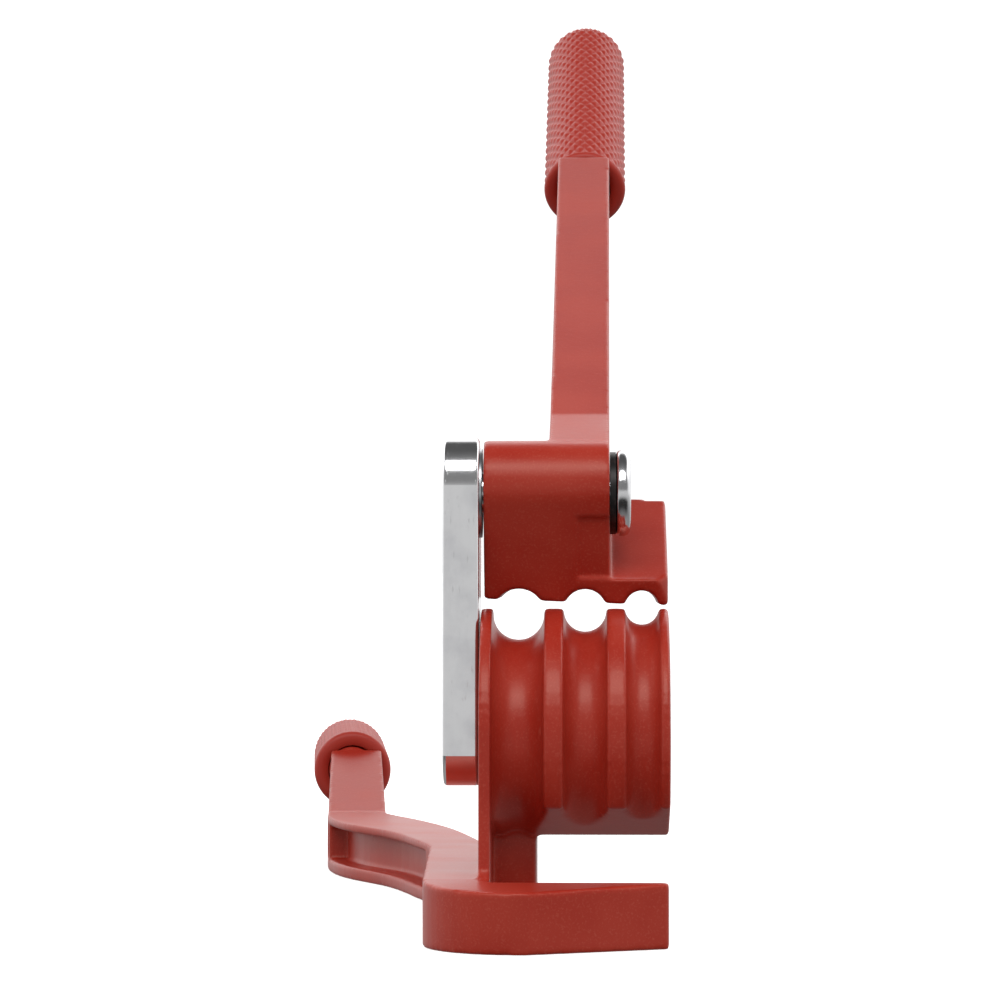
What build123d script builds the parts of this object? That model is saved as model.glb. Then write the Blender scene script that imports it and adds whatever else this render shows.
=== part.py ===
from build123d import *
import math
import os

# Three-groove tube bender. Millimetres, +Z up, handles running away along +Y, pivots along X.
# The origin lies on the flat underside of the fixed handle, straight below the former's
# pivot axis, in the mid-plane of the fixed handle's straight run.

# ---- tubes and former ----
TUBE_D = (9.525, 7.9375, 6.35)        # 3/8, 5/16 and 1/4 inch tube
SEAT_R = (23.19, 23.91, 24.43)        # bend radius of each tube's centreline
SEAT_CLEARANCE = 0.04                 # groove radius over tube radius
LAND_R = 24.25                        # outer radius of the former
LEFT_FLANGE = 2.2
LANDS = (3.7, 3.45)                   # between the grooves
RIGHT_FLANGE = 1.75
AXIS_Z = 36.8                         # former pivot axis above the bench
FORMER_LEFT = 6.3
NOSE_CUT = 12.0                       # how far below the axis the front of the former is cut
CHIN_DEPTH = 17.9                     # how far below the axis its flat underside lies
CHIN_FRONT = 7.0                      # front end of that flat, ahead of the axis

# ---- pedestal between former and fixed handle ----
WEB_WIDTH = 8.2
WEB_FRONT_GAP = 11.0                  # web behind the largest tube's hanging leg
PEDESTAL_BACK = 14.0

# ---- fixed handle ----
BASE_TOP = 12.2
ARM_RIGHT = 5.6                       # right side of the straight run
BAR_FRONT = 41.2                      # front of the hook bar, ahead of the axis
BAR_TUBE_GAP = 0.15                   # hook bar's back face to the tube's outside
BAR_FLAT_END = 15.6                   # where the bar starts to taper
BAR_TIP_X = 40.95
BAR_TIP_THICKNESS = 1.9
BAR_TOP_DROP = 1.2                    # fall of the top face towards the front
BAR_TOP_BACK = 25.0                   # where that fall starts, ahead of the axis
CORNER_R = 17.0                       # front-left corner in plan
ARM_LEFT_FRONT = 3.8
SIDE_POCKET_DEPTH = 4.4
SIDE_POCKET_FLOOR = 2.8               # bottom flange of the I-section
SIDE_POCKET_ROOF = 1.8                # top flange
SIDE_POCKET_Y = (62.0, 139.0)
END_POCKET_Y = (141.2, 147.0)         # small pocket beyond a cross rib
LOWER_MOUTH = (-30.1, 193.0, 19.9)    # centre of the lower grip's mouth
LOWER_YAW = 4.0                       # degrees the lower grip points left
RAMP_START = 37.0                     # the crank's upper face starts this far before the mouth
RAMP_END = 1.5
RAMP_TOP = 4.7                        # its top edge above the mouth's centre
RAMP_UNDER_START = 34.0               # its underside starts to rise
NECK_HALF = 6.0                       # half the crank's width at the grip
NECK_SHIFT = 1.0                      # crank's middle right of the grip's
LEFT_EDGE = ((-5.6, 50.0), (-9.4, 72.0), (-17.5, 100.0), (-27.4, 121.0), (-32.3, 142.0))
RIGHT_EDGE = ((ARM_RIGHT, 52.0), (2.1, 80.8), (-2.0, 101.4), (-8.1, 123.0), (-14.1, 139.2))
LEFT_EDGE_END = -3.2                  # from the mouth's centre to the edge where the crank starts
RIGHT_EDGE_END = 10.1
FOOT_FILLET = 1.5                     # side plate to hook bar

# ---- grips, the same on both handles ----
GRIP_R = 9.15
GRIP_STRAIGHT = 70.5
GRIP_WALL = 3.65
GRIP_RIM = 1.4                        # rounding of the mouth's rim
MOUTH_FLARE = 0.7
MOUTH_FLARE_DEPTH = 6.0
TANG_LENGTH = 60.0
SHOULDER_GAP = 0.25                   # arm's shoulder to the grip's mouth

# ---- link ----
LINK_T = 6.8
LINK_R = 9.1
LINK_GAP = 0.3                        # link to former
LINK_EDGE = 0.7
LINK_FOOT_R = 9.9                     # flatter round of its lower end
PIVOT_SPAN = 46.0
LINK_TOP_OFFSET = 1.35                # link's upper round above its pivot

# ---- pivot bolts, washers and bushes ----
BOLT_R = 4.0
BOLT_RUNNING = 0.05
HEAD_R = 8.1
HEAD_T = 2.8
HEAD_EDGE = 1.5
HEAD_UNDER_EDGE = 1.0
WASHER_T = 1.1
WASHER_R = 7.75
WASHER_BORE_PLAY = 0.15
AXIAL_PLAY = 0.1
THRUST_R = 8.4
FORMER_THRUST_T = 0.9
BARREL_THRUST_T = 0.45
BUSH_WALL = 1.5
BUSH_LENGTH = 8.0
RECESS_PLAY = 0.5                     # round the parts that sit in a counterbore
RECESS_COVER = 0.2                    # recessed head below the former's right face

# ---- moving handle ----
BARREL_R = 8.6
BARREL_RISE = 1.3                     # barrel's rounded top is centred above its pivot
BARREL_GAP = 0.8                      # link to barrel
BARREL_LENGTH = 23.6
FACE_TILT = 22.0                      # the shoe's front face leans back as it goes down
SHOE_CLEAR_LEFT = 1.85                # shoe above the former's lands at its left end
SHOE_CLEAR_RIGHT = 0.55
SHOE_BACK = 27.0
SHOE_BACK_SKEW = 3.0                  # its back end is further back on the left
SHOE_LIP = 5.6                        # height of the front lip
SHOE_TOP_BACK = 22.7                  # height of the sloped top at the back
CORNER_CUT = 2.1                      # chamfer of the shoe's front right corner
STEP_WIDTH = 6.2                      # shallow front recess, from the barrel's right end
STEP_DEPTH = 0.6
STEP_TOP = 4.5                        # its top, below the pivot
MOVING_ARM_WIDTH = 11.4               # flush with the barrel's right end
ARM_YAW = 0.36                        # degrees the arm points right
ARM_TOP_START = (16.0, 15.5)          # (Y, Z) from the pivot to where the arm's top face starts
UPPER_MOUTH_OFFSET = (-5.5, 138.2, 70.5)   # mouth's centre from the barrel's right end and pivot
UPPER_PITCH = 31.0                    # degrees the upper grip rises
ARM_ABOVE_AXIS = 8.8                  # arm's faces from the grip's axis, at its mouth
ARM_BELOW_AXIS = 6.3
ARM_ROOT_DEPTH = 17.0
ARM_POCKET_DEPTH = 2.8
ARM_POCKET_RIM = 2.2                  # flange above and below the side pockets
ARM_POCKET_SPAN = (0.16, 0.93)        # shares of the arm's length that the pockets take

# ---- worked out from the values above ----
TUBE_R = [d / 2 for d in TUBE_D]
GROOVE_R = [r + SEAT_CLEARANCE for r in TUBE_R]


def groove_centres():
    """X of each groove's middle, from the left flange and the lands between them."""
    first = FORMER_LEFT + LEFT_FLANGE + GROOVE_R[0]
    second = first + GROOVE_R[0] + LANDS[0] + GROOVE_R[1]
    third = second + GROOVE_R[1] + LANDS[1] + GROOVE_R[2]
    return first, second, third


GROOVE_X = groove_centres()
FORMER_RIGHT = GROOVE_X[2] + GROOVE_R[2] + RIGHT_FLANGE
TUBE_OUTSIDE = max(seat + r for seat, r in zip(SEAT_R, TUBE_R))
TUBE_INSIDE = SEAT_R[0] - TUBE_R[0]
PIVOT_Z = AXIS_Z + PIVOT_SPAN
LINK_RIGHT = FORMER_LEFT - LINK_GAP
LINK_LEFT = LINK_RIGHT - LINK_T
BARREL_LEFT = LINK_RIGHT + BARREL_GAP
BARREL_RIGHT = BARREL_LEFT + BARREL_LENGTH
MOVING_ARM_LEFT = BARREL_RIGHT - MOVING_ARM_WIDTH
ARM_TOP_ROOT = (ARM_TOP_START[0], PIVOT_Z + ARM_TOP_START[1])
UPPER_MOUTH = (
    BARREL_RIGHT + UPPER_MOUTH_OFFSET[0] + UPPER_MOUTH_OFFSET[1] * math.sin(math.radians(ARM_YAW)),
    UPPER_MOUTH_OFFSET[1],
    PIVOT_Z + UPPER_MOUTH_OFFSET[2],
)
PLATE_RIGHT = FORMER_LEFT + LEFT_FLANGE
WEB_RIGHT = PLATE_RIGHT + WEB_WIDTH
WEB_FRONT = -(TUBE_INSIDE - WEB_FRONT_GAP)
BAR_BACK = -(TUBE_OUTSIDE + BAR_TUBE_GAP)
BUSH_R = BOLT_R + BUSH_WALL
RECESS_R = HEAD_R + RECESS_PLAY
RECESS_DEPTH = RECESS_COVER + HEAD_T + WASHER_T + AXIAL_PLAY
TANG_R = GRIP_R - GRIP_WALL
CUT = 60.0                            # reach of cutting blocks, past every face


# ---- helpers ----
def x_cylinder(radius, left, right, y, z):
    """Cylinder along X between two X positions."""
    rod = Cylinder(radius, right - left, align=(Align.CENTER, Align.CENTER, Align.MIN))
    return Pos(left, y, z) * Rot(0, 90, 0) * rod


def block(low, high):
    """Box between two opposite corners."""
    size = [b - a for a, b in zip(low, high)]
    corner = (Align.MIN, Align.MIN, Align.MIN)
    return Pos(*low) * Box(*size, align=corner)


def side_prism(points, left, right):
    """Prism along X whose outline is given as (Y, Z) points."""
    outline = make_face(Polyline(*points, close=True).edges())
    return extrude(Plane.YZ.offset(left) * outline, amount=right - left)


def ring(inner, outer, left, right, z):
    """Flat or tubular ring round a pivot axis at height z."""
    return x_cylinder(outer, left, right, 0, z) - x_cylinder(inner, left - 1, right + 1, 0, z)


def along_grip(mouth, yaw, pitch):
    """Place whose local +Z runs down a grip from its mouth."""
    return Pos(*mouth) * Rot(0, 0, yaw) * Rot(pitch - 90, 0, 0)


UPPER_GRIP_PLACE = along_grip(UPPER_MOUTH, -ARM_YAW, UPPER_PITCH)
LOWER_GRIP_PLACE = along_grip(LOWER_MOUTH, LOWER_YAW, 0)


# ---- former ----
def groove_cutter(index):
    """Ring that cuts one tube groove: round at the root, straight walls above the centre."""
    radius = GROOVE_R[index]
    reach = LAND_R + 1 - SEAT_R[index]
    centre = Pos(GROOVE_X[index], SEAT_R[index])
    profile = centre * Circle(radius) + centre * Pos(0, reach / 2) * Rectangle(2 * radius, reach)
    return Pos(0, 0, AXIS_Z) * revolve(Plane.XZ * profile, axis=Axis.X)


def former_wheel():
    """Grooved wheel, cut away along its slanted nose and flat underside."""
    wheel = x_cylinder(LAND_R, FORMER_LEFT, FORMER_RIGHT, 0, AXIS_Z)
    for index in range(len(TUBE_D)):
        wheel -= groove_cutter(index)
    nose_y = -math.sqrt(LAND_R**2 - NOSE_CUT**2)
    chin_z = AXIS_Z - CHIN_DEPTH
    slope = (CHIN_DEPTH - NOSE_CUT) / (-CHIN_FRONT - nose_y)
    outer_y = nose_y - LAND_R
    outer_z = AXIS_Z - NOSE_CUT + slope * LAND_R
    underside = [
        (outer_y, outer_z),
        (-CHIN_FRONT, chin_z),
        (CUT, chin_z),
        (CUT, chin_z - CUT),
        (outer_y, chin_z - CUT),
    ]
    wheel -= side_prism(underside, FORMER_LEFT - 1, FORMER_RIGHT + 1)
    return wheel


def pedestal():
    """Side plate and web that carry the former on the fixed handle."""
    plate = block((FORMER_LEFT, -LAND_R, 0), (PLATE_RIGHT, PEDESTAL_BACK, AXIS_Z))
    web = block((PLATE_RIGHT, WEB_FRONT, 0), (WEB_RIGHT, PEDESTAL_BACK, AXIS_Z - CHIN_FRONT))
    return plate + web + foot()


def foot():
    """Small sloped fillets where the side plate stands on the handle, front and back."""
    top = BASE_TOP + FOOT_FILLET
    front = [(-LAND_R - FOOT_FILLET, BASE_TOP), (-LAND_R, BASE_TOP), (-LAND_R, top)]
    back_y = PEDESTAL_BACK
    back = [(back_y + FOOT_FILLET, BASE_TOP), (back_y, BASE_TOP), (back_y, top)]
    wedges = None
    for outline in (front, back):
        wedge = side_prism(outline, FORMER_LEFT, PLATE_RIGHT)
        wedges = wedge if wedges is None else wedges + wedge
    return wedges


# ---- fixed handle ----
def left_side(shift):
    """Left edge of the handle in plan, moved right by shift."""
    points = [*LEFT_EDGE, (LOWER_MOUTH[0] + LEFT_EDGE_END, LOWER_MOUTH[1] - RAMP_START)]
    return Spline(*[(x + shift, y) for x, y in points], tangents=[(0, 1), (-0.05, 1)])


def right_side(shift):
    """Right edge of the handle in plan, moved left by shift."""
    points = [*RIGHT_EDGE, (LOWER_MOUTH[0] + RIGHT_EDGE_END, LOWER_MOUTH[1] - RAMP_START)]
    return Spline(*[(x - shift, y) for x, y in points], tangents=[(0, 1), (-0.2, 1)])


def neck_corners():
    """Corners, in plan, of the shoulder that faces the lower grip's mouth."""
    yaw = math.radians(LOWER_YAW)
    ahead = Vector(-math.sin(yaw), math.cos(yaw))
    across = Vector(math.cos(yaw), math.sin(yaw))
    middle = Vector(LOWER_MOUTH[0], LOWER_MOUTH[1]) - ahead * SHOULDER_GAP + across * NECK_SHIFT
    return middle - across * NECK_HALF, middle + across * NECK_HALF


def handle_plan():
    """Outline of the fixed handle, seen from above."""
    corner = (-ARM_LEFT_FRONT + CORNER_R, -BAR_FRONT + CORNER_R)
    tip_front = BAR_BACK - BAR_TIP_THICKNESS
    left_neck, right_neck = neck_corners()
    left = left_side(0)
    right = right_side(0)
    front = Polyline(
        (BAR_TIP_X, BAR_BACK), (BAR_TIP_X, tip_front), (BAR_FLAT_END, -BAR_FRONT), (corner[0], -BAR_FRONT)
    )
    bend = RadiusArc((corner[0], -BAR_FRONT), (-ARM_LEFT_FRONT, corner[1]), CORNER_R)
    run = Line((-ARM_LEFT_FRONT, corner[1]), left @ 0)
    neck = Polyline(left @ 1, left_neck, right_neck, right @ 1)
    back = Polyline(
        right @ 0,
        (ARM_RIGHT, PEDESTAL_BACK),
        (WEB_RIGHT, PEDESTAL_BACK),
        (WEB_RIGHT, WEB_FRONT),
        (PLATE_RIGHT, WEB_FRONT),
        (PLATE_RIGHT, BAR_BACK),
        (BAR_TIP_X, BAR_BACK),
    )
    edges = Curve() + [front, bend, run, left, neck, right, back]
    return make_face(edges.edges())


def handle_profile():
    """Outline of the fixed handle, seen from the right: flat base, then the crank up to the grip."""
    _, mouth_y, mouth_z = LOWER_MOUTH
    return side_prism(
        [
            (-BAR_FRONT - 1, 0),
            (mouth_y - RAMP_UNDER_START, 0),
            (mouth_y, mouth_z - TANG_R),
            (mouth_y + 2, mouth_z - TANG_R),
            (mouth_y + 2, mouth_z + RAMP_TOP),
            (mouth_y - RAMP_END, mouth_z + RAMP_TOP),
            (mouth_y - RAMP_START, BASE_TOP),
            (-BAR_TOP_BACK, BASE_TOP),
            (-BAR_FRONT - 1, BASE_TOP - BAR_TOP_DROP),
        ],
        -CUT,
        CUT,
    )


def side_pocket(side, outward, span):
    """Pocket cut into one side of the I-section, along part of its length."""
    depth = SIDE_POCKET_DEPTH
    inner = side(depth)
    outer = side(-outward)
    face = make_face([inner, outer, Line(inner @ 0, outer @ 0), Line(inner @ 1, outer @ 1)])
    height = BASE_TOP - SIDE_POCKET_FLOOR - SIDE_POCKET_ROOF
    channel = extrude(Pos(0, 0, SIDE_POCKET_FLOOR) * face, amount=height, dir=(0, 0, 1))
    return channel & block((-CUT, span[0], 0), (CUT, span[1], CUT))


def fixed_handle():
    """One casting: former, pedestal, hook bar, cranked handle and the tang inside the lower grip."""
    lever = extrude(handle_plan(), amount=CUT, dir=(0, 0, 1)) & handle_profile()
    for side in (left_side, right_side):
        for span in (SIDE_POCKET_Y, END_POCKET_Y):
            lever -= side_pocket(side, 3.0, span)
    casting = lever + pedestal() + former_wheel()
    casting -= former_bores()
    casting += LOWER_GRIP_PLACE * tang()
    return casting


def former_bores():
    """Bolt hole with a seat for a bush at each end, a washer seat and the bolt head's recess."""
    left_floor = FORMER_LEFT + FORMER_THRUST_T - LINK_GAP + AXIAL_PLAY
    right_floor = FORMER_RIGHT - RECESS_DEPTH
    bore = x_cylinder(BOLT_R + 2 * BOLT_RUNNING + 0.4, left_floor, right_floor, 0, AXIS_Z)
    bore += x_cylinder(BUSH_R, left_floor - 0.01, left_floor + BUSH_LENGTH, 0, AXIS_Z)
    bore += x_cylinder(BUSH_R, right_floor - BUSH_LENGTH, right_floor + 0.01, 0, AXIS_Z)
    bore += x_cylinder(THRUST_R + RECESS_PLAY, FORMER_LEFT - 1, left_floor, 0, AXIS_Z)
    bore += x_cylinder(RECESS_R, right_floor, FORMER_RIGHT + 1, 0, AXIS_Z)
    return bore


def tang():
    """Round core inside a grip, from the arm's shoulder, in the grip's own place."""
    core = Cylinder(TANG_R, TANG_LENGTH + 1, align=(Align.CENTER, Align.CENTER, Align.MIN))
    return Pos(0, 0, -1) * chamfer(core.edges().group_by(Axis.Z)[-1], 1.0)


def grip():
    """Sleeve with a rounded rim, a flared mouth and a domed end, in its own place."""
    dome = GRIP_STRAIGHT
    outline = Polyline((TANG_R + MOUTH_FLARE, 0), (GRIP_R - GRIP_RIM, 0))
    rim = RadiusArc((GRIP_R - GRIP_RIM, 0), (GRIP_R, GRIP_RIM), -GRIP_RIM)
    wall = Line((GRIP_R, GRIP_RIM), (GRIP_R, dome))
    cap = RadiusArc((GRIP_R, dome), (0, dome + GRIP_R), -GRIP_R)
    bore = Polyline(
        (0, dome + GRIP_R),
        (0, TANG_LENGTH + SHOULDER_GAP),
        (TANG_R, TANG_LENGTH + SHOULDER_GAP),
        (TANG_R, MOUTH_FLARE_DEPTH),
        (TANG_R + MOUTH_FLARE, 0),
    )
    face = make_face((Curve() + [outline, rim, wall, cap, bore]).edges())
    return revolve(Plane.XZ * face, axis=Axis.Z)


# ---- link, bolts, washers, bushes ----
def link_bar():
    """Flat steel bar with round ends, threaded for the two pivot bolts."""
    top_z = PIVOT_Z + LINK_TOP_OFFSET
    foot_z = AXIS_Z + LINK_FOOT_R - LINK_R
    foot = x_cylinder(LINK_FOOT_R, LINK_LEFT, LINK_RIGHT, 0, foot_z)
    bar = foot & block((LINK_LEFT, -LINK_R, 0), (LINK_RIGHT, LINK_R, foot_z))
    bar += block((LINK_LEFT, -LINK_R, foot_z), (LINK_RIGHT, LINK_R, top_z))
    bar += x_cylinder(LINK_R, LINK_LEFT, LINK_RIGHT, 0, top_z)
    rims = bar.faces().sort_by(Axis.X)
    bar = fillet(rims[0].edges() + rims[-1].edges(), LINK_EDGE)
    for z in (AXIS_Z, PIVOT_Z):
        bar -= x_cylinder(BOLT_R, LINK_LEFT - 1, LINK_RIGHT + 1, 0, z)
    return bar


def pivot_bolt(head_x, z):
    """Shoulder bolt from the link's left face to a rounded head whose inner face is at head_x."""
    head = x_cylinder(HEAD_R, head_x, head_x + HEAD_T, 0, z)
    head = fillet(head.edges().group_by(Axis.X)[-1], HEAD_EDGE)
    head = fillet(head.edges().group_by(Axis.X)[0], HEAD_UNDER_EDGE)
    return head + x_cylinder(BOLT_R, LINK_LEFT, head_x, 0, z)


def head_washer(head_x, z):
    """Washer under a bolt head."""
    return ring(BOLT_R + WASHER_BORE_PLAY, WASHER_R, head_x - WASHER_T, head_x, z)


def thrust_washer(thickness, z):
    """Thin washer against the link's right face."""
    return ring(BOLT_R + WASHER_BORE_PLAY, THRUST_R, LINK_RIGHT, LINK_RIGHT + thickness, z)


def bush(left, z):
    """Plain bearing bush."""
    return ring(BOLT_R + BOLT_RUNNING, BUSH_R, left, left + BUSH_LENGTH, z)


# ---- moving handle ----
def lean_point(height):
    """Y of the shoe's leaning front face at a height Z: a tangent to the barrel's round."""
    tilt = math.radians(FACE_TILT)
    centre_z = PIVOT_Z + BARREL_RISE
    touch_y = -BARREL_R * math.cos(tilt)
    touch_z = centre_z - BARREL_R * math.sin(tilt)
    return touch_y + (touch_z - height) * math.tan(tilt)


def shoe_body():
    """Block under the barrel and the wedge to its right, before its grooves are cut."""
    low = AXIS_Z + LAND_R
    centre_z = PIVOT_Z + BARREL_RISE
    lip_z = low + SHOE_LIP
    back_z = low + SHOE_TOP_BACK
    wedge = side_prism(
        [
            (lean_point(low), low),
            (SHOE_BACK, low),
            (SHOE_BACK, back_z),
            (lean_point(lip_z) + 0.8, lip_z),
            (lean_point(lip_z), lip_z),
        ],
        BARREL_LEFT,
        FORMER_RIGHT,
    )
    tilt = math.radians(FACE_TILT)
    neck = side_prism(
        [
            (lean_point(low), low),
            (SHOE_BACK, low),
            (SHOE_BACK, back_z),
            (BARREL_R, centre_z),
            (-BARREL_R * math.cos(tilt), centre_z - BARREL_R * math.sin(tilt)),
        ],
        BARREL_LEFT,
        BARREL_RIGHT,
    )
    return wedge + neck


def shoe_cutters():
    """What is cut off the shoe: sloping sole, skewed back end and front right corner."""
    low = AXIS_Z + LAND_R
    sole = Polyline(
        (BARREL_LEFT - 1, low + SHOE_CLEAR_LEFT),
        (FORMER_RIGHT + 1, low + SHOE_CLEAR_RIGHT),
        (FORMER_RIGHT + 1, low - CUT),
        (BARREL_LEFT - 1, low - CUT),
        close=True,
    )
    under = extrude(Plane.XZ * make_face(sole.edges()), amount=CUT, both=True)
    back = Polyline(
        (BARREL_LEFT - 1, SHOE_BACK),
        (FORMER_RIGHT + 1, SHOE_BACK - SHOE_BACK_SKEW),
        (FORMER_RIGHT + 1, CUT),
        (BARREL_LEFT - 1, CUT),
        close=True,
    )
    behind = extrude(Pos(0, 0, low - 1) * make_face(back.edges()), amount=SHOE_TOP_BACK + 6, dir=(0, 0, 1))
    front_y = lean_point(low + SHOE_LIP) - 1
    corner = Polyline(
        (FORMER_RIGHT - CORNER_CUT, front_y - CUT),
        (FORMER_RIGHT - CORNER_CUT, front_y + 1),
        (FORMER_RIGHT, front_y + 1 + CORNER_CUT),
        (FORMER_RIGHT + 1, front_y + 1 + CORNER_CUT),
        (FORMER_RIGHT + 1, front_y - CUT),
        close=True,
    )
    beside = extrude(Pos(0, 0, low - 1) * make_face(corner.edges()), amount=SHOE_LIP + 4, dir=(0, 0, 1))
    return under, behind, beside


def front_recess():
    """Shallow step in the front face, open towards the wedge."""
    bottom = AXIS_Z + LAND_R + SHOE_LIP
    top = PIVOT_Z - STEP_TOP
    outline = [
        (lean_point(bottom) - 5, bottom),
        (lean_point(bottom) + STEP_DEPTH, bottom),
        (lean_point(top) + STEP_DEPTH, top),
        (lean_point(top) - 5, top),
    ]
    return side_prism(outline, BARREL_RIGHT - STEP_WIDTH, BARREL_RIGHT + 1)


def arm_end():
    """(Y, Z) of the arm's top and bottom corners at its shoulder."""
    _, mouth_y, mouth_z = UPPER_MOUTH
    pitch = math.radians(UPPER_PITCH)
    end_y = mouth_y - SHOULDER_GAP * math.cos(pitch)
    end_z = mouth_z - SHOULDER_GAP * math.sin(pitch)
    top = (end_y - ARM_ABOVE_AXIS * math.sin(pitch), end_z + ARM_ABOVE_AXIS * math.cos(pitch))
    under = (end_y + ARM_BELOW_AXIS * math.sin(pitch), end_z - ARM_BELOW_AXIS * math.cos(pitch))
    return top, under


def moving_arm():
    """Arm from the barrel to the upper grip's mouth, deeper at its root, with side pockets."""
    top, under = arm_end()
    root_y, root_z = ARM_TOP_ROOT
    belly = (root_y + 8, root_z - ARM_ROOT_DEPTH + 4)
    outline = [
        (0, PIVOT_Z + BARREL_RISE + BARREL_R),
        (root_y, root_z),
        top,
        under,
        belly,
        (root_y - 2, root_z - ARM_ROOT_DEPTH - 4),
        (0, PIVOT_Z),
    ]
    left = MOVING_ARM_LEFT
    right = BARREL_RIGHT
    corner = Pos(right, 0, 0)
    arm = side_prism(outline, left, right)
    pocket = arm_pocket_outline(Vector(*ARM_TOP_ROOT), Vector(*top), Vector(*belly), Vector(*under))
    arm -= side_prism(pocket, left - 1, left + ARM_POCKET_DEPTH)
    arm -= side_prism(pocket, right - ARM_POCKET_DEPTH, right + 1)
    return corner * Rot(0, 0, -ARM_YAW) * corner.inverse() * arm


def arm_pocket_outline(top_root, top_end, under_root, under_end):
    """(Y, Z) corners of a side pocket, inside the arm's flanges."""
    corners = []
    for share in ARM_POCKET_SPAN:
        upper = top_root + (top_end - top_root) * share
        lower = under_root + (under_end - under_root) * share
        inward = (lower - upper).normalized() * ARM_POCKET_RIM
        corners.append((upper + inward, lower - inward))
    (first_up, first_low), (last_up, last_low) = corners
    return [(p.X, p.Y) for p in (first_up, last_up, last_low, first_low)]


def barrel_bores():
    """Bolt hole through the barrel with a bush seat at each end."""
    bore = x_cylinder(BOLT_R + 2 * BOLT_RUNNING + 0.4, BARREL_LEFT - 1, BARREL_RIGHT + 1, 0, PIVOT_Z)
    bore += x_cylinder(BUSH_R, BARREL_LEFT - 1, BARREL_LEFT + BUSH_LENGTH, 0, PIVOT_Z)
    bore += x_cylinder(BUSH_R, BARREL_RIGHT - BUSH_LENGTH, BARREL_RIGHT + 1, 0, PIVOT_Z)
    return bore


def moving_handle():
    """One casting: barrel, three-groove shoe, arm and the tang inside the upper grip."""
    barrel = x_cylinder(BARREL_R, BARREL_LEFT, BARREL_RIGHT, 0, PIVOT_Z + BARREL_RISE)
    casting = barrel + shoe_body()
    for cutter in shoe_cutters():
        casting -= cutter
    casting -= front_recess()
    casting += moving_arm()
    for radius, x, seat in zip(GROOVE_R, GROOVE_X, SEAT_R):
        channel = Cylinder(radius, 2 * CUT)
        casting -= Pos(x, 0, AXIS_Z + seat) * Rot(90, 0, 0) * channel
    casting -= barrel_bores()
    casting += UPPER_GRIP_PLACE * tang()
    return casting


def main():
    """Builds every piece and writes each as its own file."""
    former_head_x = FORMER_RIGHT - RECESS_COVER - HEAD_T
    barrel_head_x = BARREL_RIGHT + AXIAL_PLAY + WASHER_T
    former_bush_left = FORMER_LEFT + FORMER_THRUST_T - LINK_GAP + AXIAL_PLAY
    former_bush_right = FORMER_RIGHT - RECESS_DEPTH - BUSH_LENGTH
    pieces = {
        "fixed_handle": fixed_handle(),
        "lower_grip": LOWER_GRIP_PLACE * grip(),
        "former_bush_left": bush(former_bush_left, AXIS_Z),
        "former_bush_right": bush(former_bush_right, AXIS_Z),
        "link_bar": link_bar(),
        "former_pivot_bolt": pivot_bolt(former_head_x, AXIS_Z),
        "former_head_washer": head_washer(former_head_x, AXIS_Z),
        "former_thrust_washer": thrust_washer(FORMER_THRUST_T, AXIS_Z),
        "handle_pivot_bolt": pivot_bolt(barrel_head_x, PIVOT_Z),
        "handle_head_washer": head_washer(barrel_head_x, PIVOT_Z),
        "handle_thrust_washer": thrust_washer(BARREL_THRUST_T, PIVOT_Z),
        "moving_handle": moving_handle(),
        "upper_grip": UPPER_GRIP_PLACE * grip(),
        "barrel_bush_left": bush(BARREL_LEFT, PIVOT_Z),
        "barrel_bush_right": bush(BARREL_RIGHT - BUSH_LENGTH, PIVOT_Z),
    }
    os.makedirs("parts", exist_ok=True)
    for name, shape in pieces.items():
        export_step(shape, f"parts/{name}.step")


if __name__ == "__main__":
    main()
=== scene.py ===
"""Three-groove hand tube bender: painted castings, knurled grips, chromed link and pivot bolts."""

import logging
import math
from dataclasses import dataclass
from enum import Enum

import bmesh
import bpy
import numpy as np
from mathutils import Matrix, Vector


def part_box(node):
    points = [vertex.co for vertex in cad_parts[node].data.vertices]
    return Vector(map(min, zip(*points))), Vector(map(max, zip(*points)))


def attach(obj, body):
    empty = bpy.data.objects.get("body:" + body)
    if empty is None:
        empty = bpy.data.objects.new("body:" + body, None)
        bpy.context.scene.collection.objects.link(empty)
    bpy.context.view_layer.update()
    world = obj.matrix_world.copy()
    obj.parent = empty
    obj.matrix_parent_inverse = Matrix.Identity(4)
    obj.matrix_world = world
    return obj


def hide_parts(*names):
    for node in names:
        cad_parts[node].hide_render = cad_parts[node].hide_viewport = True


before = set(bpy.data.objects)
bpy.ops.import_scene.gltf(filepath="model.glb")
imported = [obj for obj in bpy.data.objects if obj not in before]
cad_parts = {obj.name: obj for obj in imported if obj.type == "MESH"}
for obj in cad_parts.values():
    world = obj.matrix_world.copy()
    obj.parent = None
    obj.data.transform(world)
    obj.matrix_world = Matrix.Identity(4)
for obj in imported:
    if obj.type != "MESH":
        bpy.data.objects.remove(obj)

LOG = logging.getLogger("tube_bender")
MM = 0.001
Colour = tuple[float, float, float]
Point = tuple[float, float, float]
Socket = bpy.types.NodeSocket


class Body(Enum):
    """The bodies that the joints move."""

    FRAME = "frame"
    LINK = "link"
    LEVER = "lever"


class Slot(Enum):
    """The record's material slots."""

    PAINT = "handle_paint"
    GRIP = "grip_sleeve"
    BRONZE = "bronze"
    LINK = "link_chrome"
    BOLT = "bolt_chrome"
    BLACK = "black_washer"
    ZINC = "zinc_washer"


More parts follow.
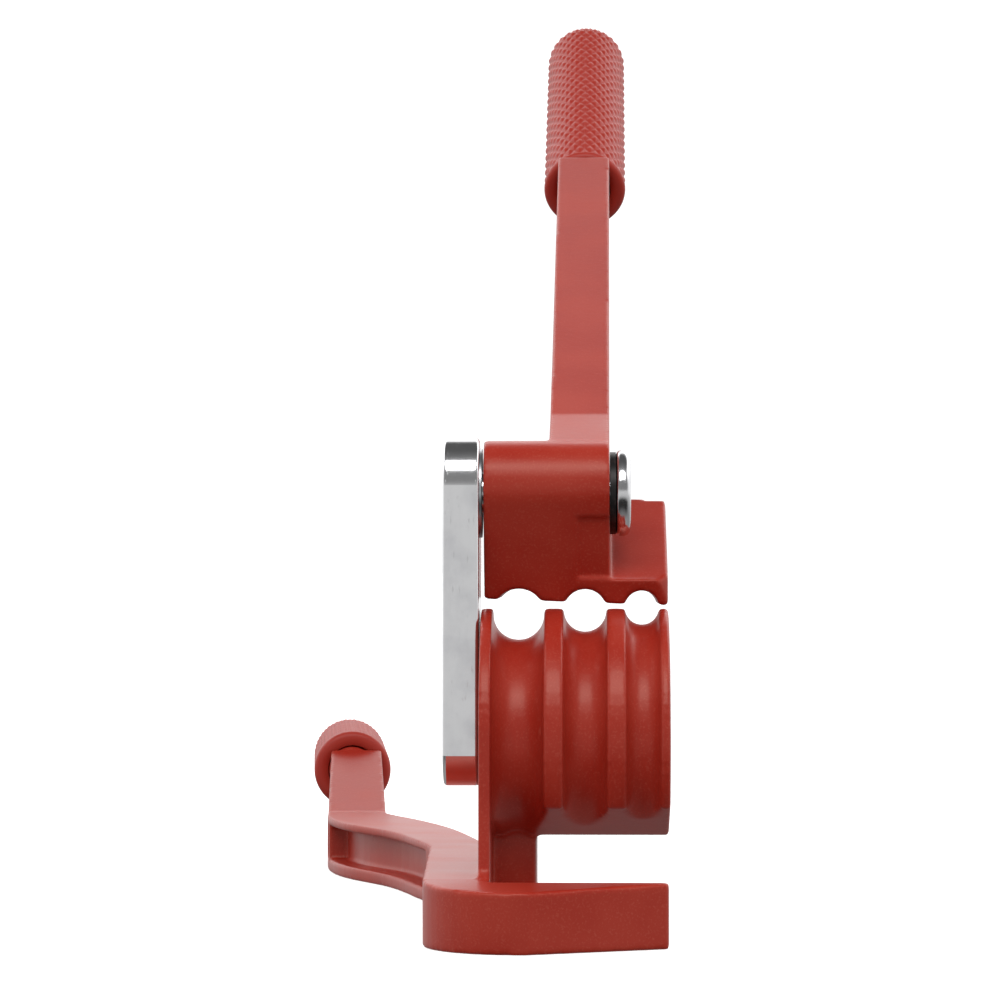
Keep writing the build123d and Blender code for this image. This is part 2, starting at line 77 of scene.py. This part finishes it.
# ---------------------------------------------------------------- shader expressions
class Value:
    """A number in a shader tree: its operators add Math nodes."""

    def __init__(self, tree: "ShaderTree", socket: Socket) -> None:
        """Wraps an output socket of a tree."""
        self.tree = tree
        self.socket = socket

    def maths(self, operation: str, *terms: "Value | float") -> "Value":
        """Adds one Math node.

        Args:
            operation: the node's operation.
            terms: its inputs in order, links or plain numbers.

        Returns:
            The node's result.
        """
        sockets = dict(enumerate(terms))
        node = self.tree.node("ShaderNodeMath", {"operation": operation}, sockets)
        return Value(self.tree, node.outputs[0])

    def __add__(self, other: "Value | float") -> "Value":
        """self + other."""
        return self.maths("ADD", self, other)

    __radd__ = __add__

    def __sub__(self, other: "Value | float") -> "Value":
        """self - other."""
        return self.maths("SUBTRACT", self, other)

    def __rsub__(self, other: float) -> "Value":
        """other - self."""
        return self.maths("SUBTRACT", other, self)

    def __mul__(self, other: "Value | float") -> "Value":
        """self * other."""
        return self.maths("MULTIPLY", self, other)

    __rmul__ = __mul__

    def between(self, low: float, high: float) -> "Value":
        """Smooth step from 0 at low to 1 at high; high may be the smaller.

        Args:
            low: where the result is 0.
            high: where the result is 1.

        Returns:
            The stepped value.
        """
        settings = {"interpolation_type": "SMOOTHSTEP"}
        turned = high < low
        first, last = (high, low) if turned else (low, high)
        sockets = {"Value": self, "From Min": first, "From Max": last}
        stepped = Value(self.tree, self.tree.node("ShaderNodeMapRange", settings, sockets).outputs[0])
        return 1.0 - stepped if turned else stepped


class ShaderTree:
    """The node tree of one material or of the world."""

    def __init__(self, owner: bpy.types.ID) -> None:
        """Clears the owner's node tree and keeps it."""
        owner.use_nodes = True
        self.tree = owner.node_tree
        self.tree.nodes.clear()

    def node(self, kind: str, settings: dict | None = None, sockets: dict | None = None) -> bpy.types.Node:
        """Adds any node.

        Args:
            kind: the node's type.
            settings: its properties, and "stops" for a ramp as (place, colour) pairs.
            sockets: values, links or wrapped values by input name or number.

        Returns:
            The node.
        """
        made = self.tree.nodes.new(kind)
        for name, value in (settings or {}).items():
            if name == "stops":
                self._set_stops(made.color_ramp, value)
            else:
                setattr(made, name, value)
        for name, value in (sockets or {}).items():
            if isinstance(value, Value):
                self.tree.links.new(value.socket, made.inputs[name])
            elif isinstance(value, Socket):
                self.tree.links.new(value, made.inputs[name])
            else:
                made.inputs[name].default_value = value
        return made

    @staticmethod
    def _set_stops(ramp: bpy.types.ColorRamp, stops: list[tuple[float, Colour]]) -> None:
        """Gives a colour ramp its stops, at least two of them."""
        while len(ramp.elements) < len(stops):
            ramp.elements.new(1.0)
        for element, (place, colour) in zip(ramp.elements, stops, strict=True):
            element.position = place
            element.color = (*colour, 1.0)

    def place(self) -> Socket:
        """Position on the piece, in metres."""
        return self.node("ShaderNodeTexCoord").outputs["Object"]

    def noise(self, size: float, detail: float = 2.0, at: Socket | None = None) -> Value:
        """Cloudy noise.

        Args:
            size: width of its blotches, in metres.
            detail: octaves of finer noise in it.
            at: where it is read, the piece's own position if not given.

        Returns:
            Noise of about 0.5, between 0 and 1.
        """
        sockets = {"Vector": at or self.place(), "Scale": 1.0 / size, "Detail": detail}
        return Value(self, self.node("ShaderNodeTexNoise", None, sockets).outputs[0])

    def cells(self, size: float) -> Value:
        """Distance to the nearest of scattered points, in shares of size."""
        sockets = {"Vector": self.place(), "Scale": 1.0 / size}
        return Value(self, self.node("ShaderNodeTexVoronoi", None, sockets).outputs["Distance"])

    def stretched(self, scale: Point) -> Socket:
        """The piece's position, multiplied along each axis."""
        settings = {"operation": "MULTIPLY"}
        return self.node("ShaderNodeVectorMath", settings, {0: self.place(), 1: scale}).outputs[0]

    def mix(self, share: Value, first: object, second: object) -> Socket:
        """Mixes two colours.

        Args:
            share: 0 for the first, 1 for the second.
            first: a colour or a colour link.
            second: a colour or a colour link.

        Returns:
            The mixed colour.
        """
        pair = [(*c, 1.0) if isinstance(c, tuple) else c for c in (first, second)]
        sockets = {0: share, 6: pair[0], 7: pair[1]}
        return self.node("ShaderNodeMix", {"data_type": "RGBA"}, sockets).outputs[2]

    def bump(self, height: Value, metres: float, below: Socket | None = None) -> Socket:
        """Raises a surface by a height.

        Args:
            height: relief from 0 to 1.
            metres: how high a relief of 1 stands.
            below: the relief that this one lies on.

        Returns:
            The bent normal.
        """
        sockets = {"Height": height, "Distance": metres, "Strength": 1.0}
        if below is not None:
            sockets["Normal"] = below
        return self.node("ShaderNodeBump", None, sockets).outputs[0]

    def edges(self, low: float, high: float) -> Value:
        """1 on the piece's convex edges and 0 elsewhere."""
        pointy = Value(self, self.node("ShaderNodeNewGeometry").outputs["Pointiness"])
        return pointy.between(low, high)

    def surface(self, **sockets: object) -> None:
        """Ends a material with the principled shader, its sockets given with _ for spaces."""
        named = {name.replace("_", " "): value for name, value in sockets.items()}
        shader = self.node("ShaderNodeBsdfPrincipled", None, named)
        self.node("ShaderNodeOutputMaterial", None, {"Surface": shader.outputs[0]})


# ---------------------------------------------------------------- finishes
@dataclass(frozen=True)
class CastPaint:
    """Satin red enamel sprayed on a die casting."""

    name: str = "red_enamel"
    deep: Colour = (0.41, 0.024, 0.012)
    dry: Colour = (0.45, 0.036, 0.020)
    # lighter red: the colour of the specks, and on convex edges thin worn paint plus a painted highlight
    pale_and_highlight_red: Colour = (0.54, 0.095, 0.064)
    sheen: Colour = (1.0, 0.86, 0.74)
    roughness: float = 0.36
    peel: float = 1.5 * MM
    peel_height: float = 0.016 * MM
    speck: float = 0.42 * MM
    speck_height: float = 0.007 * MM

    def material(self) -> bpy.types.Material:
        """Builds the finish: orange peel, fine dust specks, drier patches, and convex edges lightened as
        thin worn paint plus a painted highlight.
        """
        made = bpy.data.materials.new(self.name)
        tree = ShaderTree(made)
        patches = tree.noise(14 * MM, 3.0)
        peel = tree.noise(self.peel, 1.0)
        specks = tree.noise(self.speck, 2.0)
        pits = tree.cells(0.9 * MM).between(0.34, 0.10) * tree.noise(5 * MM, 1.0).between(0.52, 0.66)
        # convex edges lightened: partly thin worn paint, partly a painted edge highlight
        wear_and_highlight = tree.edges(0.53, 0.60) * tree.noise(2.2 * MM, 3.0).between(0.40, 0.62)
        body = tree.mix(patches.between(0.35, 0.7), self.deep, self.dry)
        body = tree.mix(specks.between(0.5, 0.75) * 0.35, body, self.pale_and_highlight_red)
        colour = tree.mix(wear_and_highlight * 0.55, body, self.pale_and_highlight_red)
        rough = self.roughness + (patches - 0.5) * 0.16 + (specks - 0.5) * 0.14
        relief = tree.bump(peel, self.peel_height)
        relief = tree.bump(specks - pits * 0.8, self.speck_height, relief)
        tree.surface(
            Base_Color=colour,
            Roughness=rough,
            Specular_IOR_Level=0.42,
            Specular_Tint=(*self.sheen, 1.0),
            Normal=relief,
        )
        return made


@dataclass(frozen=True)
class GripMoulding:
    """Red plastic with a fine moulded grain, duller than the paint."""

    name: str = "red_grip_moulding"
    body: Colour = (0.44, 0.036, 0.022)
    rubbed: Colour = (0.50, 0.060, 0.038)
    roughness: float = 0.47

    def material(self) -> bpy.types.Material:
        """Builds the finish: fine grain, and rubbed crests on the knurling."""
        made = bpy.data.materials.new(self.name)
        tree = ShaderTree(made)
        grain = tree.noise(0.30 * MM, 2.0)
        cloud = tree.noise(9 * MM, 2.0)
        crest = tree.edges(0.50, 0.58)
        colour = tree.mix(crest * cloud.between(0.35, 0.65) * 0.7, self.body, self.rubbed)
        rough = self.roughness + (cloud - 0.5) * 0.12 - crest * 0.08
        relief = tree.bump(grain, 0.006 * MM)
        tree.surface(Base_Color=colour, Roughness=rough, Specular_IOR_Level=0.35, Normal=relief)
        return made


@dataclass(frozen=True)
class Plating:
    """Bright or dull plated steel, with fine lines from polishing."""

    name: str
    colour: Colour
    haze: Colour
    roughness: float
    lines_along: Point
    line_height: float = 0.0012 * MM

    def material(self) -> bpy.types.Material:
        """Builds the finish: polishing lines, a faint haze and a few scuffs."""
        made = bpy.data.materials.new(self.name)
        tree = ShaderTree(made)
        lines = tree.noise(0.22 * MM, 3.0, tree.stretched(self.lines_along))
        haze = tree.noise(7 * MM, 4.0)
        scuffs = tree.noise(0.5 * MM, 2.0, tree.stretched((1.0, 0.25, 0.16))).between(0.66, 0.72)
        colour = tree.mix(haze.between(0.4, 0.75), self.colour, self.haze)
        rough = self.roughness + (haze - 0.5) * 0.07 + (lines - 0.5) * 0.06 + scuffs * 0.10
        relief = tree.bump(lines, self.line_height)
        relief = tree.bump(haze, 0.0022 * MM, relief)
        tree.surface(Base_Color=colour, Metallic=1.0, Roughness=rough, Normal=relief)
        return made


@dataclass(frozen=True)
class BlackOxide:
    """Black washer, faintly brown where it rubs."""

    name: str = "black_oxide"
    body: Colour = (0.012, 0.010, 0.010)
    rubbed: Colour = (0.055, 0.038, 0.034)

    def material(self) -> bpy.types.Material:
        """Builds the finish: soft black with rubbed edges."""
        made = bpy.data.materials.new(self.name)
        tree = ShaderTree(made)
        cloud = tree.noise(1.6 * MM, 3.0)
        colour = tree.mix(cloud.between(0.5, 0.7) * 0.6, self.body, self.rubbed)
        rough = 0.42 + (cloud - 0.5) * 0.25
        relief = tree.bump(tree.noise(0.25 * MM, 2.0), 0.004 * MM)
        tree.surface(Base_Color=colour, Metallic=0.4, Roughness=rough, Normal=relief)
        return made


@dataclass(frozen=True)
class OiledBronze:
    """Sintered bronze bush: pores that hold oil."""

    name: str = "oiled_bronze"
    body: Colour = (0.50, 0.30, 0.13)
    pore: Colour = (0.16, 0.09, 0.04)

    def material(self) -> bpy.types.Material:
        """Builds the finish: warm metal with fine dark pores."""
        made = bpy.data.materials.new(self.name)
        tree = ShaderTree(made)
        pores = tree.cells(0.35 * MM).between(0.30, 0.12)
        cloud = tree.noise(2.5 * MM, 2.0)
        colour = tree.mix(pores * 0.8, self.body, self.pore)
        rough = 0.34 + (cloud - 0.5) * 0.2 + pores * 0.2
        relief = tree.bump(1.0 - pores, 0.01 * MM)
        tree.surface(Base_Color=colour, Metallic=1.0, Roughness=rough, Normal=relief)
        return made


# ---------------------------------------------------------------- pieces
def add_piece(name: str, mesh: bpy.types.Mesh, material: bpy.types.Material) -> bpy.types.Object:
    """Puts a mesh into the scene as one smooth-shaded piece.

    Args:
        name: the piece's name.
        mesh: its mesh, in the frame's own place.
        material: its finish.

    Returns:
        The piece.
    """
    piece = bpy.data.objects.new(name, mesh)
    bpy.context.scene.collection.objects.link(piece)
    mesh.materials.clear()
    mesh.materials.append(material)
    mesh.shade_smooth()
    return piece


def settle(piece: bpy.types.Object, body: Body, slot: Slot, *nodes: str) -> None:
    """Ties a piece to its body, hides the nodes that it stands for, and reports it."""
    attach(piece, body.value)
    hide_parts(*nodes)
    LOG.info("%s: %d faces, stands for %s", piece.name, len(piece.data.polygons), ", ".join(nodes))


@dataclass
class Casting:
    """A die casting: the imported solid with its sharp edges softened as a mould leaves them."""

    node: str
    body: Body
    voxel: float = 0.45 * MM
    rounds: int = 9
    kept: float = 0.5

    def welded(self) -> bpy.types.Mesh:
        """Copies the node's mesh and joins the points that its faces share."""
        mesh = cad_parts[self.node].data.copy()
        work = bmesh.new()
        work.from_mesh(mesh)
        bmesh.ops.remove_doubles(work, verts=work.verts, dist=0.0005 * MM)
        work.to_mesh(mesh)
        work.free()
        if "custom_normal" in mesh.attributes:
            mesh.attributes.remove(mesh.attributes["custom_normal"])
        return mesh

    def softened(self) -> bpy.types.Mesh:
        """Remeshes the solid finely, rounds its edges and thins out its flat faces."""
        rough = bpy.data.objects.new(f"{self.node}_rough", self.welded())
        bpy.context.scene.collection.objects.link(rough)
        remesh = rough.modifiers.new("even", "REMESH")
        remesh.mode = "VOXEL"
        remesh.voxel_size = self.voxel
        smooth = rough.modifiers.new("round", "SMOOTH")
        smooth.factor = 0.5
        smooth.iterations = self.rounds
        thin = rough.modifiers.new("thin", "DECIMATE")
        thin.ratio = self.kept
        graph = bpy.context.evaluated_depsgraph_get()
        mesh = bpy.data.meshes.new_from_object(rough.evaluated_get(graph))
        bpy.data.objects.remove(rough)
        mesh.name = f"{self.node}_cast"
        return mesh

    def build(self, material: bpy.types.Material) -> bpy.types.Object:
        """Makes the casting and ties it to its body."""
        piece = add_piece(f"{self.node}_casting", self.softened(), material)
        settle(piece, self.body, Slot.PAINT, self.node)
        return piece


@dataclass
class Grip:
    """A moulded sleeve with a diamond knurl, a plain rounded rim and a domed end."""

    node: str
    body: Body
    yaw: float
    pitch: float
    radius: float = 9.15 * MM
    straight: float = 70.5 * MM
    wall: float = 3.65 * MM
    rim: float = 1.35 * MM
    flare: float = 0.3 * MM
    flare_depth: float = 6.0 * MM
    bore_depth: float = 60.25 * MM
    starts: int = 24
    pitch_along: float = 3.95 * MM
    depth: float = 0.38 * MM
    knurl_from: float = 0.6 * MM
    columns: int = 264
    row_step: float = 0.46 * MM

    def axis(self) -> Vector:
        """Direction from the mouth to the domed end."""
        yaw, pitch = math.radians(self.yaw), math.radians(self.pitch)
        level = math.cos(pitch)
        return Vector((-math.sin(yaw) * level, math.cos(yaw) * level, math.sin(pitch)))

    def mouth(self) -> Vector:
        """Centre of the mouth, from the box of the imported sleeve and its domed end."""
        low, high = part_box(self.node)
        side = low.x + self.radius if self.yaw > 0 else high.x - self.radius
        dome = Vector((side, high.y - self.radius, high.z - self.radius))
        return dome - self.axis() * self.straight

    def profile(self) -> list[tuple[float, float, float, float, float]]:
        """Rows of the sleeve's section, from the bottom of the bore over the rim to the pole.

        Returns:
            (along, radius, outward along, outward radius, knurl) for each row.
        """
        bore = self.radius - self.wall
        lip = bore + self.flare
        rows = [(self.bore_depth, bore, 0.0, -1.0, 0.0), (self.flare_depth, bore, 0.0, -1.0, 0.0)]
        rows.append((0.3 * MM, lip, 0.0, -1.0, 0.0))
        rows.append((0.05 * MM, lip + 0.08 * MM, -0.7, -0.7, 0.0))
        steps = 8
        for i in range(steps + 1):
            turn = math.pi / 2 * i / steps
            along = self.rim * (1 - math.cos(turn))
            out = self.radius - self.rim * (1 - math.sin(turn))
            rows.append((along, out, -math.cos(turn), math.sin(turn), 0.0))
        count = round((self.straight - self.rim) / self.row_step)
        for i in range(1, count + 1):
            along = self.rim + (self.straight - self.rim) * i / count
            weight = min(1.0, max(0.0, (along - self.knurl_from) / (0.9 * MM)))
            rows.append((along, self.radius, 0.0, 1.0, weight))
        dome_steps = round(self.radius * math.pi / 2 / self.row_step)
        for i in range(1, dome_steps):
            turn = math.pi / 2 * i / dome_steps
            along = self.straight + self.radius * math.sin(turn)
            fade = min(1.0, (1 - i / dome_steps) / 0.35)
            rows.append((along, self.radius * math.cos(turn), math.sin(turn), math.cos(turn), fade))
        return rows

    def knurl(self, along: np.ndarray, turn: np.ndarray) -> np.ndarray:
        """Height of the diamonds, 0 in the grooves and 1 on the crests.

        Args:
            along: arc length from the mouth along the sleeve.
            turn: angle round it from its top, in radians.

        Returns:
            The height at each point.
        """
        angle = turn * self.starts / (2 * math.pi)
        rise = along / self.pitch_along
        first = 1.0 - np.abs(2.0 * ((angle + rise) % 1.0) - 1.0)
        second = 1.0 - np.abs(2.0 * ((angle - rise) % 1.0) - 1.0)
        height = np.clip(np.minimum(first, second) * 1.3, 0.0, 1.0)
        seam = np.abs(np.sin(turn)) * self.radius < 0.15 * MM
        return np.where(seam, 0.5 + height * 0.3, height)

    def mesh(self) -> bpy.types.Mesh:
        """Turns the profile into the knurled sleeve, closed at the bore's floor and the pole."""
        rows = np.array(self.profile())
        turn = np.linspace(0.0, 2 * math.pi, self.columns, endpoint=False)
        outer = rows[:, 0] + 0.0
        dome = rows[:, 0] > self.straight
        outer[dome] = self.straight + self.radius * np.arccos(np.clip(rows[dome, 1] / self.radius, 0, 1))
        sunk = (self.knurl(outer[:, None], turn[None, :]) - 1.0) * self.depth * rows[:, 4][:, None]
        along = rows[:, 0][:, None] + rows[:, 2][:, None] * sunk
        out = rows[:, 1][:, None] + rows[:, 3][:, None] * sunk
        ahead = self.axis()
        side = Vector((0, 0, 1)).cross(ahead).normalized()
        up = ahead.cross(side)
        start = self.mouth()
        basis = np.array([list(ahead), list(up), list(side)])
        local = np.stack([along, out * np.cos(turn), out * np.sin(turn)], axis=-1).reshape(-1, 3)
        points = local @ basis + np.array(start)
        ends = [start + ahead * self.bore_depth, start + ahead * (self.straight + self.radius)]
        points = np.vstack([points, [list(end) for end in ends]])
        faces = self.skin(len(rows), len(points) - 2)
        mesh = bpy.data.meshes.new(f"{self.node}_knurled")
        mesh.from_pydata(points.tolist(), [], faces)
        mesh.validate()
        return mesh

    def skin(self, row_count: int, floor: int) -> list[tuple[int, ...]]:
        """Faces between neighbouring rows, and fans to the bore's floor and the pole.

        Args:
            row_count: how many rows the profile has.
            floor: number of the point at the bore's floor; the pole's follows it.

        Returns:
            Point numbers of each face.
        """
        faces = []
        for i in range(row_count - 1):
            for j in range(self.columns):
                k = (j + 1) % self.columns
                here, above = i * self.columns, (i + 1) * self.columns
                faces.append((here + j, above + j, above + k, here + k))
        last = (row_count - 1) * self.columns
        for j in range(self.columns):
            k = (j + 1) % self.columns
            faces.append((j, k, floor))
            faces.append((last + k, last + j, floor + 1))
        return faces

    def build(self, material: bpy.types.Material) -> bpy.types.Object:
        """Makes the sleeve and ties it to its body."""
        piece = add_piece(f"{self.node}_sleeve", self.mesh(), material)
        work = bmesh.new()
        work.from_mesh(piece.data)
        bmesh.ops.recalc_face_normals(work, faces=work.faces)
        work.to_mesh(piece.data)
        work.free()
        settle(piece, self.body, Slot.GRIP, self.node)
        return piece


@dataclass
class Linkage:
    """The link with its two bolts, their washers and the bushes they turn in."""

    link_colour: Colour = (0.80, 0.80, 0.81)
    bolt_colour: Colour = (0.74, 0.74, 0.75)

    def dress(self) -> None:
        """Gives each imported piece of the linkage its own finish."""
        link = Plating("link_chrome", self.link_colour, (0.70, 0.70, 0.72), 0.15, (0.3, 1.0, 0.05))
        bolt = Plating("bolt_chrome", self.bolt_colour, (0.62, 0.62, 0.64), 0.16, (1.0, 0.3, 0.3))
        zinc = Plating("zinc_plate", (0.55, 0.56, 0.58), (0.44, 0.45, 0.46), 0.34, (1.0, 0.2, 1.0))
        finishes = {
            "link_bar": (Slot.LINK, link.material()),
            "pivot_bolt": (Slot.BOLT, bolt.material()),
            "thrust_washer": (Slot.ZINC, zinc.material()),
            "head_washer": (Slot.BLACK, BlackOxide().material()),
            "bush": (Slot.BRONZE, OiledBronze().material()),
        }
        for name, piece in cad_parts.items():
            for part, (slot, material) in finishes.items():
                if part in name:
                    piece.data.materials.clear()
                    piece.data.materials.append(material)
                    LOG.info("%s: %s", name, material.name)


# ---------------------------------------------------------------- stage
@dataclass
class Studio:
    """Pale floor, a soft surrounding light and the camera."""

    camera_at: Point = (0.0258, -0.710, 0.0702)
    yaw: float = 1.294
    tilt: float = 0.913
    focal: float = 135.5
    brightest: float = 2.5

    def floor(self) -> None:
        """Lays a plain pale floor far past the view."""
        pale = bpy.data.materials.new("pale_floor")
        tree = ShaderTree(pale)
        grain = tree.noise(6 * MM, 3.0)
        tree.surface(
            Base_Color=(0.86, 0.86, 0.86, 1.0),
            Roughness=0.75 + (grain - 0.5) * 0.1,
            Emission_Color=(1.0, 1.0, 1.0, 1.0),
            Emission_Strength=0.62,
        )
        work = bmesh.new()
        bmesh.ops.create_grid(work, x_segments=4, y_segments=4, size=12.0)
        mesh = bpy.data.meshes.new("floor")
        work.to_mesh(mesh)
        work.free()
        floor = bpy.data.objects.new("floor", mesh)
        floor.location = (0.0, 8.0, -0.02 * MM)
        mesh.materials.append(pale)
        bpy.context.scene.collection.objects.link(floor)
        floor.visible_diffuse = False
        floor.visible_glossy = False

    def surroundings(self) -> None:
        """Grey room: a bright band high behind the tool, dark low in front of it and dim overhead."""
        world = bpy.data.worlds.new("studio")
        bpy.context.scene.world = world
        tree = ShaderTree(world)
        where = tree.node("ShaderNodeTexCoord").outputs["Generated"]
        parts = tree.node("ShaderNodeSeparateXYZ", None, {0: where})
        depth = Value(tree, parts.outputs[1])
        height = Value(tree, parts.outputs[2])
        back = [(-1.0, 0.35), (-0.5, 0.28), (-0.1, 0.55), (0.0, 1.1), (0.3, 1.3)]
        back += [(0.48, 2.2), (0.64, 2.2), (0.76, 0.4), (0.84, 0.1), (1.0, 0.1)]
        front = [(-1.0, 0.34), (-0.6, 0.03), (-0.3, 0.03), (-0.15, 0.62)]
        front += [(0.06, 0.72), (0.14, 0.25), (1.0, 0.2)]
        ramps = []
        for stops in (back, front):
            greys = [((z + 1) / 2, (g / self.brightest,) * 3) for z, g in stops]
            share = height * 0.5 + 0.5
            ramps.append(tree.node("ShaderNodeValToRGB", {"stops": greys}, {0: share}).outputs[0])
        colour = tree.mix(depth.between(0.15, -0.55), *ramps)
        light = tree.node("ShaderNodeBackground", None, {"Color": colour, "Strength": self.brightest})
        tree.node("ShaderNodeOutputWorld", None, {"Surface": light.outputs[0]})

    def lamp(self, name: str, at: Point, aim: Point, size: tuple[float, float], watts: float) -> None:
        """Hangs one soft box.

        Args:
            name: the lamp's name.
            at: its place.
            aim: the point it faces.
            size: its width and height.
            watts: its power.
        """
        data = bpy.data.lights.new(name, "AREA")
        data.shape = "RECTANGLE"
        data.size, data.size_y = size
        data.energy = watts
        lamp = bpy.data.objects.new(name, data)
        lamp.location = at
        lamp.rotation_mode = "QUATERNION"
        lamp.rotation_quaternion = (Vector(aim) - Vector(at)).to_track_quat("-Z", "Y")
        lamp.visible_camera = False
        bpy.context.scene.collection.objects.link(lamp)

    def camera(self) -> None:
        """Stands the camera in front of the grooves, looking along the handles."""
        data = bpy.data.cameras.new("camera")
        data.lens = self.focal
        data.sensor_width = 36.0
        data.clip_start, data.clip_end = 0.05, 60.0
        camera = bpy.data.objects.new("camera", data)
        camera.location = self.camera_at
        camera.rotation_euler = (math.radians(90 + self.tilt), 0.0, math.radians(self.yaw))
        bpy.context.scene.collection.objects.link(camera)
        bpy.context.scene.camera = camera

    def build(self) -> None:
        """Sets floor, light and camera."""
        self.floor()
        self.surroundings()
        self.lamp("key_box", (0.0, -0.80, 1.02), (0.02, 0.0, 0.06), (1.5, 0.5), 11.2)
        self.camera()


def main() -> None:
    """Builds the castings, the grips, the linkage and the studio, in that order."""
    logging.basicConfig(level=logging.INFO, format="%(name)s: %(message)s")
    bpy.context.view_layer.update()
    bpy.context.scene.view_settings.view_transform = "Standard"
    enamel = CastPaint().material()
    moulding = GripMoulding().material()
    Casting("fixed_handle", Body.FRAME, voxel=0.42 * MM, kept=0.34).build(enamel)
    Casting("moving_handle", Body.LEVER, voxel=0.4 * MM, kept=0.5).build(enamel)
    Grip("upper_grip", Body.LEVER, yaw=-0.36, pitch=31.0).build(moulding)
    Grip("lower_grip", Body.FRAME, yaw=4.1, pitch=0.0).build(moulding)
    Linkage().dress()
    Studio().build()


if __name__ == "__main__":
    main()
